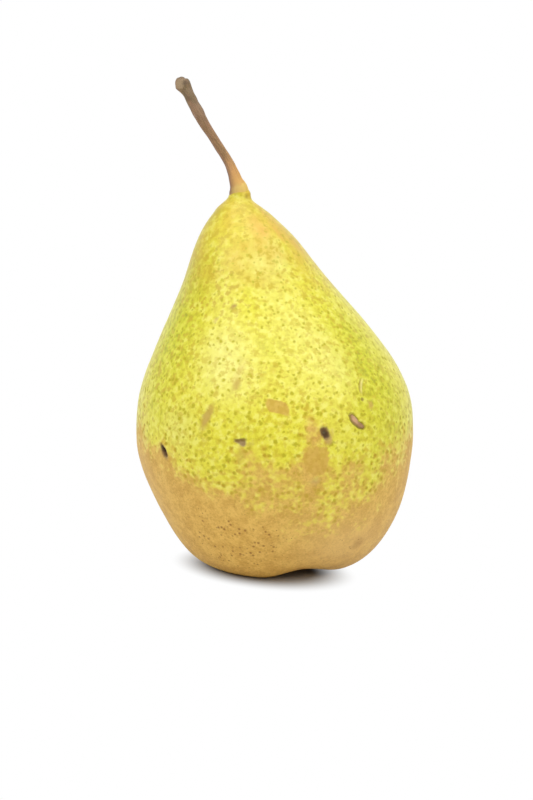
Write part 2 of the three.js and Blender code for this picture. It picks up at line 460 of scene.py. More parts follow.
RAGGED_WAVES = (0.9, 0.4)  # wavelengths of a mark's ragged edge
MARK_RAGGEDNESS = 0.11
STAIN_RAGGEDNESS = 0.2

normal_grid = normals_of(grid)
row_heights = grid[:, :, 2].mean(1)
first_upward = row_heights.argmin()  # the rows before it line the basin underneath


def grid_place(azimuth, height):
    """Row and column of the skin at this azimuth and height."""
    column = round((azimuth + 180) / 360 * COLUMNS) % COLUMNS
    rows = np.arange(first_upward, len(body_grid))
    row = rows[np.abs(grid[rows, column, 2] - height).argmin()]
    return row, column


def near(points, mark):
    """Each point's place on a mark: along its long side and across it, in units."""
    azimuth, height, _, _, turn = mark
    row, column = grid_place(azimuth, height)
    middle = grid[row, column] + (height - grid[row, column, 2]) * UP
    facing = math.radians(azimuth)
    right = np.array([math.cos(facing), math.sin(facing), 0])
    rising = unit(np.cross(normal_grid[row, column], right))
    middle = middle + right * (facing - math.radians(angles[column])) * radii.max()
    a = (points - middle) @ right
    b = (points - middle) @ rising
    sin = math.sin(math.radians(turn))
    cos = math.cos(math.radians(turn))
    far = ((points - middle) @ normal_grid[row, column]) < -MARK_DEPTH
    along = np.where(far, OFF_THE_MARK, a * cos + b * sin)
    across = np.where(far, OFF_THE_MARK, b * cos - a * sin)
    return along, across


def oval(points, mark, ragged=0.0, grow=0.0, power=2.0, slant=0.0):
    """0 in a mark's middle, 1 on its outline and more outside it. A high power squares it."""
    along, across = near(points, mark)
    along = along + slant * across
    sides = np.abs(along / (mark[2] + grow)) ** power + np.abs(across / (mark[3] + grow)) ** power
    reach = sides ** (1 / power)
    close = reach < 3  # far from the mark the edge doesn't matter
    if ragged and close.any():
        wide, narrow = RAGGED_WAVES
        reach[close] += ragged * (waves(points[close], wide, mark[0]) + waves(points[close], narrow))
    return reach


cell_middles = (grid[:-1] + grid[1:] + np.roll(grid, -1, 1)[:-1] + np.roll(grid, -1, 1)[1:]) / 4
flat_cells = cell_middles.reshape(-1, 3)
fine = np.zeros(len(flat_cells), bool)
for mark in (*OVAL_MARKS, CRESCENT):
    fine |= oval(flat_cells, mark, grow=MARK_MARGIN) < 1
fine = fine.reshape(cell_middles.shape[:2])

fruit_vertices, fruit_faces, fruit_corners = grid_faces(len(grid), COLUMNS, fine, CUTS)
rows, columns = fruit_vertices.T / CUTS
skin = sample(grid, rows, columns)
skin_normals = unit(sample(normal_grid, rows, columns))
heights = skin[:, 2].copy()
azimuths = columns / COLUMNS * 360 - 180

# The skin is never quite even. The foot stays as it stands, and so does the collar.
SWELLS = ((0.2, 21.0, 3.0), (0.11, 9.0, 7.0), (0.045, 4.2, 11.0))
FOOT_HEIGHTS = (1.0, 9.0)
ROWS_TO_COLLAR = 8
free = smooth(heights, *FOOT_HEIGHTS)
free *= 1 - smooth(rows, len(body_grid) - ROWS_TO_COLLAR, len(body_grid))
lift = free * layered_waves(skin, *SWELLS)


def hollow(reach, depth, flat, rim=0.0, rim_at=1.25):
    """The lift of a sunken mark that is flat as far as this from its middle, with a rim round it."""
    return rim * bump(reach, rim_at, 0.3) - depth * (1 - smooth(reach, flat, 1.0))


pit, slit, scar_head, scar_foot, scab_bar, scab_point, speck = (
    oval(skin, mark, ragged=MARK_RAGGEDNESS) for mark in OVAL_MARKS
)
scar = np.minimum(scar_head, scar_foot)
scab = np.minimum(scab_bar, scab_point)
lift += hollow(pit, 0.85, 0.25, rim=0.16)
lift += hollow(slit, 0.95, 0.2, rim=0.1, rim_at=1.3)
lift += hollow(scab, 0.3, 0.4)
lift -= 0.12 * (1 - smooth(speck, 0.4, 1.1))

# The scar healed to a rough cushion inside a furrow.
cushion = 0.26 * (1 - smooth(scar, 0.55, 0.95)) * (1 + 0.5 * waves(skin, 0.8))
lift += cushion - 0.34 * bump(scar, 1.0, 0.16)

# The crescent is a curved scratch with a ridge on one side.
crescent_along, crescent_across = near(skin, CRESCENT)
on_crescent = np.exp(-((crescent_along / CRESCENT[2]) ** 4))
ridge = crescent_across + 0.1 * crescent_along**2
lift += on_crescent * (0.1 * bump(ridge, -0.2, 0.25) - 0.17 * bump(ridge, 0.25, 0.25))

# The dimple under the lip, at the front right of the stem's foot.
DIMPLE_FROM_STEM = np.array([2.35, -2.3, 1.0])
DIMPLE_SHAPE = np.array([1, 1, 1.3])
stem_foot = stem_centres[np.searchsorted(stem_centres[:, 2], crown)]
dimple = np.linalg.norm((skin - stem_foot - DIMPLE_FROM_STEM) * DIMPLE_SHAPE, axis=1)
lift -= 0.35 * bump(dimple, 0, 0.75)

skin = skin + skin_normals * lift[:, None]
skin[:, 2] = np.maximum(skin[:, 2], 0)

# ---------------------------------------------------------------- colour fields of the skin


def around(middle_azimuth, middle_height, wide, tall):
    """1 at this place on the skin, and fading out over these distances in degrees and units."""
    sideways = turn_between(azimuths, middle_azimuth) / wide
    return np.exp(-(sideways**2) - ((heights - middle_height) / tall) ** 2)


def soft_spots(*spots):
    """The sum of soft spots. Each has its strength, then its place and size as around takes them."""
    return sum(strength * around(*place) for strength, *place in spots)


def around_side(middle_azimuth, wide):
    """1 on one side of the fruit, fading out over this many degrees."""
    return bump(turn_between(azimuths, middle_azimuth), 0, wide)


# The russet is full up to one height and gone above another. The full part is lowest in front.
LOW_SIDE = 20
FAR_LEFT = -66
from_low = turn_between(azimuths, LOW_SIDE)
behind = smooth(np.abs(azimuths), 72, 115)
far_left = around_side(FAR_LEFT, 24)
full_russet = 36 - 22 * bump(from_low, 0, np.where(from_low > 0, 44, 56)) - 10 * behind - 2.5 * far_left
no_russet = full_russet + 4 + 24 * bump(from_low, 0, 52) + 17 * behind + 8 * far_left
russet = np.clip((no_russet - heights) / (no_russet - full_russet), -0.2, 1.6)
russet += layered_waves(skin, (0.24, 7.0, 5.0), (0.16, 3.0, 9.0))
russet += behind * layered_waves(skin, (0.45, 19.0, 21.0), (0.2, 9.0, 23.0))
russet += soft_spots(
    (0.25, 12, 43, 5, 4),
    (0.45, 15, 29.5, 6, 5),
    (0.3, 15, 40, 5, 5),
    (0.25, -3, 30, 11, 4),
    (0.25, -51, 35, 5, 4),
    (0.2, 36, 30, 8, 4),
    (0.3, -12, 34, 5, 5),
    (0.5, 15, 39, 4, 4),
    (0.3, 28, 30, 6, 4),
    (0.15, -72, 41, 8, 6),
    (0.15, 0, 25.5, 8, 4),
    (0.13, 52, 30, 8, 8),
    (-0.4, -32, 30, 15, 6),
    (-0.25, -60, 37, 16, 5),
    (-0.25, 42, 24, 9, 7),
    (-0.2, -44, 39, 10, 5),
)
russet = np.where(heights < 4, np.maximum(russet, 1.3), russet)

green = 0.25 * waves(skin, 9.0, 13.0) + soft_spots(
    (0.8, 50, 52, 16, 16),
    (0.7, -60, 57, 18, 16),
    (0.5, -75, 70, 35, 12),
    (0.5, 150, 55, 60, 20),
    (0.2, -66, 56, 9, 7),
    (-0.2, -49, 62, 9, 6),
    (0.15, -76, 58, 12, 8),
)

in_neck = smooth(heights, 66, 80)
on_brim = smooth(heights, crown + 0.3, crown + 1.5)
shoulder = soft_spots((1, 61, 89.5, 9, 2.5), (1, 51, 85, 6, 3))
ochre = in_neck * (0.4 + 0.35 * waves(skin, 6.0, 17.0)) + 0.45 * shoulder
ochre += 0.4 * on_brim * (around_side(70, 50) - around_side(-30, 60))
ochre += soft_spots(
    (0.5, 68, 84, 10, 5),
    (0.25, 120, 80, 50, 12),
    (0.2, 18, 86, 12, 3),
    (-0.3, -80, 79, 30, 9),
)
# Olive in the neck. Its darkening of the very top of the neck and of the neck's left edge is painted shade.
olive_and_shade = 0.55 * smooth(heights, 85, 92) + 0.45 * on_brim * around_side(-30, 50)
olive_and_shade += soft_spots((0.8, -74, 81, 24, 11), (0.3, -40, 74, 30, 7))
blush = 0.4 * shoulder + soft_spots((0.95, 28, 85.8, 15, 2.4))

# Painted sheen: pale cream spots where the softboxes' highlights fall, and a few negative spots that take
# some away.
painted_sheen = soft_spots(
    (0.35, -22, 56, 16, 9),
    (0.25, 32, 57, 12, 9),
    (0.3, 10, 80, 22, 6),
    (0.2, 14, 65, 20, 10),
    (0.3, 32, 81, 10, 4),
    (0.1, 3, 76, 10, 5),
    (-0.08, 38, 62, 10, 6),
    (-0.12, 31, 49, 9, 6),
    (0.25, -43, 39, 9, 6),
    (0.1, 28, 43, 9, 6),
    (0.1, 10, 50, 12, 7),
    (-0.12, -33, 67, 8, 5),
    (-0.12, -8, 68, 8, 5),
)

flecks = 0.4 + 0.3 * in_neck + soft_spots(
    (0.15, -45, 45, 40, 14),
    (0.35, -5, 51, 25, 7),
    (0.5, -30, 71, 45, 6),
    (0.25, -70, 48, 25, 8),
    (0.35, -50, 62, 22, 14),
    (0.6, 12, 43, 5, 4),
    (-0.25, -30, 56, 12, 8),
    (0.35, 45, 62, 20, 14),
)

dusty = soft_spots((0.35, 36, 9, 28, 9), (0.15, 77, 22, 14, 12), (0.25, -78, 24, 16, 14))
specks = soft_spots((1.5, -23, 11, 26, 7), (0.25, -40, 20, 14, 7), (0.6, 37, 10, 10, 5))
specks += behind * bump(heights, 14, 12) * (0.7 + 0.6 * waves(skin, 15.0, 25.0))

# Two flat russet patches. The tongue is joined to the russet below it.
CORNERED_PATCH = (1.3, 45.8, 2.75, 1.5, -12)
TONGUE = (16.1, 32.2, 3.2, 4.0, 0)
cornered = oval(skin, CORNERED_PATCH, ragged=0.04, power=7.0, slant=0.44)
tongue = oval(skin, TONGUE, ragged=0.16, power=5.0) + 0.5 * (1 - smooth(heights, 27, 33))
patches = np.minimum(cornered, tongue)


def layered(layers):
    """One colour and how much of it shows, from (amount, colour) layers with the last on top."""
    colour = np.zeros((len(skin), 3))
    amount = np.zeros(len(skin))
    for share, rgb in layers:
        share = np.clip(share, 0, 1)
        left = amount * (1 - share)
        amount = left + share
        mixed = colour * left[:, None] + share[:, None] * np.array(paint(*rgb)[:3])
        colour = mixed / np.maximum(amount, 1e-6)[:, None]
    return np.concatenate([colour, amount[:, None]], 1)


def fill(reach, soft):
    """1 inside a mark and 0 outside it, with an edge this soft."""
    return 1 - smooth(reach, 1 - soft, 1 + soft)


def stain(*mark, soft=0.6):
    """A mark that has colour but no relief, as a share from 0 to 1."""
    return fill(oval(skin, mark, ragged=STAIN_RAGGEDNESS), soft)


# Each layer has how much of it shows, and its colour. Later ones lie on top.
mark_colours = layered([
    # the long streak on the left
    (0.85 * stain(-28.7, 42.6, 3.2, 1.15, 68, soft=0.4), (188, 153, 66)),
    (0.5 * stain(-28.9, 42.2, 1.7, 0.5, 68, soft=0.5), (208, 174, 90)),
    # stains in the yellow and in the neck
    (0.5 * stain(-15.0, 53.8, 2.4, 0.7, 66, soft=0.7), (218, 194, 102)),
    (0.9 * stain(-16.3, 50.8, 1.6, 0.85, 74, soft=0.55), (196, 166, 74)),
    (0.8 * stain(43.0, 44.8, 0.95, 0.75, 70, soft=0.5), (196, 154, 76)),
    (0.8 * stain(-17.5, 68.2, 0.7, 0.55, 40), (164, 122, 70)),
    (0.65 * stain(-29.9, 64.8, 0.7, 0.5, 40), (184, 144, 76)),
    (0.45 * stain(-4.0, 52.9, 1.0, 0.5, 20), (206, 178, 40)),
    (0.45 * stain(0.8, 54.0, 0.9, 0.7, 80), (206, 178, 40)),
    # stains in the russet
    (0.5 * stain(15.8, 27.8, 1.1, 0.8, 0), (170, 132, 88)),
    (0.5 * stain(42.7, 9.2, 1.6, 1.6, 0, soft=0.7), (176, 134, 82)),
    # the skin round the pit and the scab
    (0.5 * stain(22.6, 38.9, 1.5, 0.6, 85, soft=0.7), (196, 162, 66)),
    (0.55 * stain(-13.1, 34.4, 1.9, 0.9, 88, soft=0.7), (194, 162, 66)),
    (0.6 * stain(-9.7, 37.0, 1.0, 0.6, 15, soft=0.7), (182, 156, 50)),
    (0.8 * stain(21.1, 37.6, 1.2, 0.9, -75, soft=0.5), (192, 154, 84)),
    # the pit, darkest in its middle, with a small painted glint
    (fill(pit, 0.35), (148, 118, 68)),
    (0.75 * fill(pit * 1.35, 0.4), (118, 88, 54)),
    (0.85 * stain(20.5, 39.0, 1.0, 0.6, -66), (88, 64, 36)),
    # painted glint: a small grey spot in the pit
    (0.4 * stain(20.0, 39.5, 0.4, 0.3, 0), (116, 112, 80)),
    # the slit, darkest at its upper end
    (0.9 * fill(slit, 0.45), (150, 118, 84)),
    (0.9 * fill(slit * 1.4, 0.4), (98, 70, 42)),
    (0.8 * stain(-52.3, 33.5, 1.1, 0.65, -54, soft=0.5), (44, 20, 4)),
    # the scar, paler towards its middle
    (0.9 * fill(scar, 0.3), (128, 92, 58)),
    (fill(scar * 1.5, 0.4), (164, 126, 86)),
    (fill(scar_head * 1.7, 0.5), (208, 164, 122)),
    # the scab
    (0.9 * fill(scab, 0.4), (150, 120, 86)),
    (0.8 * stain(-15.3, 37.7, 0.7, 0.35, -30), (132, 104, 26)),
    (0.9 * stain(-12.9, 38.0, 1.0, 0.4, 5), (126, 100, 30)),
    # the crescent, with a painted highlight on its ridge and painted shade in its groove, the speck, and
    # the dimple with painted shade
    # painted shade in the crescent's groove
    (0.7 * on_crescent * bump(ridge, 0.25, 0.3), (160, 132, 48)),
    # painted highlight along the crescent's ridge
    (0.6 * on_crescent * bump(ridge, -0.2, 0.25), (242, 230, 150)),
    (0.9 * fill(speck, 0.5), (146, 128, 34)),
    # painted shade in the dimple under the lip
    (0.75 * bump(dimple, 0, 0.7), (168, 140, 40)),
])

# ---------------------------------------------------------------- the skin's material

YELLOW = paint(229, 221, 60)
PALE_YELLOW = paint(242, 236, 114)
DEEP_YELLOW = paint(206, 190, 10)
LIME = paint(205, 205, 18)
PALE_LIME = paint(222, 220, 56)
DEEP_LIME = paint(166, 164, 0)
PAINTED_SHEEN_CREAM = paint(246, 240, 158)
OLIVE_AND_SHADE_COLOUR = paint(192, 173, 30)
OCHRE = paint(222, 186, 60)
BLUSH = paint(234, 182, 90)
FLECK = paint(200, 175, 30)
TAN = paint(226, 184, 90)
BROWN_TAN = paint(206, 160, 70)
DARK_TAN = paint(182, 138, 56)
PALE_TAN = paint(236, 198, 104)
DUSTY_TAN = paint(232, 196, 138)
RUSSET_ISLAND = paint(234, 202, 96)
THIN_RUSSET = paint(208, 180, 44)
LENTICEL = paint(182, 170, 0)
RUSSET_LENTICEL = paint(184, 154, 12)
PATCH = paint(210, 170, 74)
PATCH_STREAK = paint(200, 157, 58)
DARK_SPECK = paint(144, 92, 32)

# Wavelengths and spacings of the patterns.
CLOUDS = 1.5
FLECKS = 1.7
MOTTLE = 3.4
GRAIN = 0.55
STREAKS = 1.3
NET = 1.5
LENTICEL_SPACING = 1.6
LENTICEL_SIZES = 1.3
SPECK_SPACING = 1.35

LENTICEL_DEPTH = 0.012
GRAIN_RELIEF = (0.012, 0.05)  # on yellow skin, and on russet
STREAK_RELIEF = 0.03
SKIN_IOR = 1.45


def ripe_yellow(s, mottle):
    """Yellow that turns lime at the sides and ochre in the neck, cloudy all over. It has painted sheen in
    pale cream, and olive that is partly painted shade.
    """
    clouds = s.noise(s.elsewhere((11.0, 29.0, 3.0)), CLOUDS, detail=2.5, roughness=0.55)
    lime = s.math("ADD", s.read("green"), s.spread(mottle, 1.1), clamp=True)
    contrast = s.step(s.read("green"), 0.1, 0.8, 0.7, 1.0)
    pale_share = s.math("MULTIPLY", s.step(clouds, 0.47, 0.68), contrast)
    deep_share = s.math("MULTIPLY", s.step(clouds, 0.5, 0.3), contrast)
    colour = s.blend(lime, YELLOW, LIME)
    colour = s.blend(pale_share, colour, s.blend(lime, PALE_YELLOW, PALE_LIME))
    colour = s.blend(deep_share, colour, s.blend(lime, DEEP_YELLOW, DEEP_LIME))
    # painted sheen: paler cream where the highlights fall
    colour = s.blend(s.read("painted_sheen"), colour, PAINTED_SHEEN_CREAM)
    # olive, partly painted shade at the top of the neck and on its left edge
    olive_and_shade = s.math("MULTIPLY", s.read("olive_and_shade"), s.step(clouds, 0.6, 0.38, 0.5, 1.2), clamp=True)
    colour = s.blend(olive_and_shade, colour, OLIVE_AND_SHADE_COLOUR)
    ochre = s.math("ADD", s.read("ochre"), s.spread(mottle, 1.6))
    ochre = s.math("MULTIPLY", ochre, s.step(s.read("ochre"), 0.02, 0.25), clamp=True)
    colour = s.blend(ochre, colour, OCHRE)
    colour = s.blend(s.math("MULTIPLY", s.read("blush"), 0.7), colour, BLUSH)
    patchy = s.noise(s.shaken(s.place, 1.2, 0.4), FLECKS, detail=3, roughness=0.6)
    fleck = s.math("MULTIPLY", s.step(patchy, 0.5, 0.64), s.read("flecks"), clamp=True)
    return s.blend(fleck, colour, FLECK)


def russet_tan(s, mottle, grain):
    """Tan that is cloudy at two scales, and paler and greyer where the skin is dusty."""
    colour = s.blend(s.step(mottle, 0.35, 0.65), TAN, BROWN_TAN)
    colour = s.blend(s.step(grain, 0.5, 0.3, 0.0, 0.6), colour, DARK_TAN)
    colour = s.blend(s.step(grain, 0.52, 0.7, 0.0, 0.5), colour, PALE_TAN)
    return s.blend(s.read("dusty"), colour, DUSTY_TAN)


def skin_material():
    s = Shader("pear_skin")
    russet_amount = s.read("russet")
    mottle = s.noise(s.place, MOTTLE, detail=3, roughness=0.6)
    grain = s.noise(s.place, GRAIN, detail=3, roughness=0.65)
    streaks = s.noise(s.place, STREAKS)
    colour = ripe_yellow(s, mottle)
    tan = russet_tan(s, mottle, grain)

    # The russet spreads from the lenticels until only islands of yellow are left between them.
    lenticels = s.cells(s.shaken(s.place, 0.7, 0.3), LENTICEL_SPACING)
    net = s.noise(s.elsewhere((31.0, 17.0, 5.0)), NET, detail=1.0)
    closeness = s.math("SUBTRACT", 1.0, s.math("DIVIDE", lenticels, LENTICEL_SPACING / 2), clamp=True)
    field = s.math("ADD", s.math("MULTIPLY", closeness, 0.35), s.math("MULTIPLY", net, 1.6))
    level = s.math("ADD", s.math("MULTIPLY", russet_amount, -0.9), 1.45)
    level = s.math("ADD", level, s.spread(mottle, -0.5))
    washed = s.step(field, s.math("SUBTRACT", level, 0.3), s.math("ADD", level, 0.3))
    island = s.blend(s.step(russet_amount, 0.3, 1.2, 0.0, 0.75), colour, RUSSET_ISLAND)
    wash = s.blend(s.step(russet_amount, 0.3, 0.95), THIN_RUSSET, tan)
    colour = s.blend(s.math("MULTIPLY", washed, 0.92), island, wash)

    # Olive lenticels, larger towards the foot, that fade in the neck and in the solid russet.
    above_foot = s.node("SeparateXYZ", {0: s.place}).outputs["Z"]
    sizes = s.noise(s.elsewhere((3.0, 41.0, 13.0)), LENTICEL_SIZES, detail=1)
    size = s.math("MULTIPLY", s.step(above_foot, 72.0, 28.0, 0.53, 0.74), s.step(sizes, 0.3, 0.7, 0.5, 1.3))
    dot = s.step(lenticels, size, s.math("MULTIPLY", size, 0.3))
    dot = s.math("MULTIPLY", dot, s.step(above_foot, 90.0, 66.0, 0.3, 0.9))
    dot = s.math("MULTIPLY", dot, s.step(russet_amount, 1.15, 0.55))
    colour = s.blend(dot, colour, s.blend(washed, LENTICEL, RUSSET_LENTICEL))

    # Tan all over where the russet is solid.
    covered = s.step(russet_amount, 0.85, 1.45)
    colour = s.blend(s.math("MULTIPLY", covered, 0.9), colour, tan)

    # Flat patches with clear edges.
    patched = s.step(s.math("ADD", s.read("patches"), s.spread(grain, 0.4)), 1.14, 0.88)
    patch_colour = s.blend(s.step(streaks, 0.4, 0.6), PATCH, PATCH_STREAK)
    colour = s.blend(s.math("MULTIPLY", patched, 0.85), colour, patch_colour)

    # Small dark lenticels in the russet.
    specks = s.cells(s.elsewhere((7.0, 3.0, 19.0)), SPECK_SPACING)
    speck_size = s.step(s.read("specks"), 0.0, 1.0, 0.0, 0.5)
    speckled = s.step(specks, speck_size, s.math("MULTIPLY", speck_size, 0.3))
    speckled = s.math("MULTIPLY", speckled, s.step(speck_size, 0.02, 0.1))
    colour = s.blend(s.math("MULTIPLY", speckled, 0.8), colour, DARK_SPECK)

    marks = s.node("Attribute", attribute_name="marks")
    colour = s.blend(marks.outputs["Alpha"], colour, marks.outputs["Color"])

    relief = s.math("MULTIPLY", dot, -LENTICEL_DEPTH)
    relief = s.math("ADD", relief, s.math("MULTIPLY", grain, s.step(covered, 0, 1, *GRAIN_RELIEF)))
    relief = s.math("ADD", relief, s.math("MULTIPLY", streaks, STREAK_RELIEF))
    matt = s.math("MAXIMUM", s.math("MAXIMUM", washed, patched), dot)
    matt = s.math("ADD", matt, marks.outputs["Alpha"])
    roughness = s.step(matt, 0, 2, 0.36, 0.9)
    return s.finish(colour, roughness, relief, IOR=SKIN_IOR)


fruit = piece_from(
    "pear_flesh_and_skin",
    skin,
    fruit_faces,
    fruit_corners,
    COLUMNS,
    CUTS,
    lengths,
    {
        "russet": russet,
        "green": green,
        "ochre": ochre,
        "olive_and_shade": np.clip(olive_and_shade, 0, 0.9),
        "painted_sheen": painted_sheen,
        "blush": blush,
        "flecks": flecks,
        "dusty": dusty,
        "specks": specks,
        "patches": patches,
        "marks": mark_colours,
    },
)
fruit.data.materials.append(skin_material())
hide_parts("fruit")

# ---------------------------------------------------------------- the stem

# Each colour along the stem, after its share of the stem's length.
BARK_COLOURS = [
    (0.16, (232, 194, 92)),
    (0.215, (234, 198, 106)),
    (0.235, (220, 170, 88)),
    (0.32, (214, 160, 92)),
    (0.4, (190, 142, 88)),
    (0.5, (164, 124, 80)),
    (0.62, (146, 108, 76)),
    (0.7, (136, 106, 76)),
    (0.76, (146, 118, 90)),
    (0.85, (126, 106, 76)),
    (0.91, (124, 106, 74)),
    (1.0, (142, 126, 98)),
]
PAINTED_BARK_SHADE = paint(130, 94, 80)
CUT_WOOD = paint(156, 132, 100)
DARK_BARK_AND_CREASE_SHADE = paint(74, 56, 36)
BARK_IOR = 1.45

# Wavelengths. The last two are on the unrolled bark, where once round is 2 pi.
BLOTCHES = 2.2
BARK_GRAIN = 0.22
STRIPES = 0.6
UNROLLED_LENGTH = 9  # length along the stem that counts as 1 there


def stem_material():
    s = Shader("stem_bark")
    along = s.read("along")
    blotches = s.noise(s.place, BLOTCHES)
    ramp = s.node("ValToRGB", {"Fac": s.math("ADD", along, s.spread(blotches, 0.06))})
    while len(ramp.color_ramp.elements) < len(BARK_COLOURS):
        ramp.color_ramp.elements.new(0.5)
    for element, (position, rgb) in zip(ramp.color_ramp.elements, BARK_COLOURS):
        element.position = position
        element.color = paint(*rgb)
    fibres = s.read("fibres")
    woody = s.step(along, 0.24, 0.5, 0.15, 1.0)
    unrolled = s.read("unrolled", "Vector")
    grain = s.noise(unrolled, BARK_GRAIN)
    stripes = s.noise(unrolled, STRIPES, detail=1.5)
    # painted shade on the stem's left side
    colour = s.blend(s.read("shade"), ramp.outputs[0], PAINTED_BARK_SHADE)
    layers = [
        (s.step(stripes, 0.52, 0.66, 0.0, 0.5), (164, 120, 92)),
        (s.step(stripes, 0.48, 0.36, 0.0, 0.55), (112, 94, 56)),
        (s.step(fibres, 0.1, 0.9, 0.0, 0.3), (112, 82, 54)),
        (s.step(blotches, 0.5, 0.7, 0.0, 0.35), (108, 84, 52)),
        (s.step(blotches, 0.5, 0.3, 0.0, 0.35), (160, 132, 112)),
        (s.step(grain, 0.5, 0.72, 0.0, 0.25), (186, 152, 108)),
        (s.step(grain, 0.46, 0.28, 0.0, 0.22), (92, 68, 46)),
    ]
    for amount, rgb in layers:
        colour = s.blend(s.math("MULTIPLY", amount, woody), colour, paint(*rgb))
    colour = s.blend(s.read("cut"), colour, CUT_WOOD)
    colour = s.blend(s.read("dark"), colour, DARK_BARK_AND_CREASE_SHADE)
    relief = s.math("MULTIPLY", grain, s.math("MULTIPLY", woody, 0.04))
    relief = s.math("ADD", relief, s.math("MULTIPLY", fibres, -0.06))
    return s.finish(colour, s.step(grain, 0.3, 0.7, 0.5, 0.68), relief, IOR=BARK_IOR)


stem_angles = np.arange(STEM_COLUMNS) / STEM_COLUMNS * 360 - 180
stem_normals = normals_of(stem_grid)
stem_vertices, stem_faces, stem_corners = grid_faces(len(stem_grid), STEM_COLUMNS)
stem_rows, stem_columns = stem_vertices.T
bark = stem_grid[stem_rows, stem_columns]
bark_normals = stem_normals[stem_rows, stem_columns]
bark_normals[[0, 1]] = [-UP, UP]
stem_turn = stem_angles[stem_columns]
stem_share = stem_places[stem_rows] / stem_places[-1]
turned = np.radians(stem_turn)
unrolled = np.stack([np.cos(turned), np.sin(turned), stem_places[stem_rows] / UNROLLED_LENGTH], 1)
fibres = 0.5 + 0.5 * layered_waves(unrolled, (1, 0.36, 2.0), (0.6, 0.17, 6.0))
woody = smooth(stem_share, 0.16, 0.3)
bark_lift = -0.11 * woody * (fibres - 0.5) + 0.09 * woody * waves(bark, 2.4, 8.0)
bark_lift += 0.05 * smooth(stem_share, 0.8, 0.92) * waves(bark, 1.5, 4.0)


def on_stem(share, turn, reach, width):
    """1 at this share of the stem's length and this turn from the front, fading out around it."""
    return bump(stem_share, share, reach) * bump(turn_between(stem_turn, turn), 0, width)


# A bud scar on the right, with a crease above it. The end of the stem swells over a waist on
# the left.
bud_crease = on_stem(0.79, 85, 0.014, 80)
bark_lift += 0.2 * on_stem(0.735, 85, 0.03, 60) - 0.08 * bud_crease
bark_lift += 0.22 * on_stem(0.93, -85, 0.025, 70) - 0.16 * on_stem(0.87, -85, 0.03, 70)
bark_lift += 0.2 * on_stem(0.971, 90, 0.009, 70) - 0.14 * on_stem(0.95, 90, 0.012, 70)
bark = bark + bark_normals * bark_lift[:, None]

# The twig broke off at the top and left a flat scar with a raised edge.
top = stem_centres[-1]
CUT_FACING = unit(np.array([-0.45, -0.88, 0.16]))
CUT_MIDDLE = np.array([-0.1, 0.0, -1.4]) + CUT_FACING  # from the middle of the stem's top
CUT_FLATNESS = 0.85  # the share of what lies beyond the cut that is taken off
beyond = (bark - top - CUT_MIDDLE) @ CUT_FACING
bark = bark - CUT_FACING * np.maximum(beyond, 0)[:, None] * CUT_FLATNESS
cut = smooth(beyond, -0.05, 0.25) * (stem_share > 0.8)
crest = smooth(bark[:, 2], top[2] - 0.45, top[2] + 0.1)
cut = np.maximum(cut, 0.5 * on_stem(0.965, 35, 0.02, 30)) * (1 - crest)
# Painted shade: the left side of the stem's lower half is darkened.
shade = 1.1 * bump(turn_between(stem_turn, -100), 0, 72) * (1 - smooth(stem_share, 0.42, 0.7))
# Dark spots on the bark, darker along its very top, and painted shade in the crease above the bud scar.
dark = 0.3 * bud_crease + 0.7 * on_stem(0.925, 22, 0.014, 28) + 0.5 * on_stem(0.833, -15, 0.018, 26)
dark += 0.5 * crest

stem = piece_from(
    "stem_bark",
    bark,
    stem_faces,
    stem_corners,
    STEM_COLUMNS,
    1,
    stem_places,
    {
        "along": stem_share,
        "fibres": fibres,
        "shade": np.clip(shade, 0, 1),
        "cut": cut,
        "dark": dark,
        "unrolled": np.concatenate([unrolled, np.ones((len(bark), 1))], 1),
    },
)
stem.data.materials.append(stem_material())
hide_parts("stem")

# ---------------------------------------------------------------- the dried calyx

CALYX_BROWN = paint(70, 50, 34)
CALYX_RIDGE = paint(126, 98, 66)
CALYX_BLOTCH = paint(52, 38, 28)
CALYX_ROUGHNESS = 0.85
CALYX_WRINKLES = 0.6  # wavelengths
CALYX_BLOTCHES = 1.8
WRINKLE_DEPTH = 0.2
SEPAL_COLUMNS = 32
SEPAL_ROWS = 60
SEPAL_WAVES = ((0.12, 0.9, 1.0), (0.07, 0.4, 2.0))


def calyx_material():
    s = Shader("dried_calyx")
    wrinkles = s.noise(s.place, CALYX_WRINKLES, detail=4, roughness=0.7)
    blotches = s.noise(s.place, CALYX_BLOTCHES)
    colour = s.blend(s.step(wrinkles, 0.35, 0.7), CALYX_BROWN, CALYX_RIDGE)
    colour = s.blend(s.step(blotches, 0.5, 0.7, 0.0, 0.6), colour, CALYX_BLOTCH)
    return s.finish(colour, CALYX_ROUGHNESS, s.math("MULTIPLY", wrinkles, WRINKLE_DEPTH))


calyx = calyx_material()
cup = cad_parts["calyx_cup"]
cup.data.materials.clear()
cup.data.materials.append(calyx)

for name in sorted(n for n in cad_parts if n.startswith("sepal_")):
    rings = rings_of(name, upright=False)
    sepal_knots = distances(rings)
    sepal_places = np.linspace(0, sepal_knots[-1], SEPAL_ROWS)
    sepal_grid = more_rings(more_columns(rings, SEPAL_COLUMNS), sepal_knots, sepal_places)
    sepal_vertices, sepal_faces, sepal_corners = grid_faces(SEPAL_ROWS, SEPAL_COLUMNS)
    sepal_rows, sepal_columns = sepal_vertices.T
    sepal_points = sepal_grid[sepal_rows, sepal_columns]
    sepal_normals = normals_of(sepal_grid)[sepal_rows, sepal_columns]
    sepal_normals[[0, 1]] = 0  # the two ends stay where they are
    wrinkles = layered_waves(sepal_points, *SEPAL_WAVES)
    sepal_points = sepal_points + sepal_normals * wrinkles[:, None]
    sepal = piece_from(
        name + "_dried",
        sepal_points,
        sepal_faces,
        sepal_corners,
        SEPAL_COLUMNS,
        1,
        sepal_places,
        {},
    )
    sepal.data.materials.append(calyx)
    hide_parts(name)

# ---------------------------------------------------------------- table, light and camera

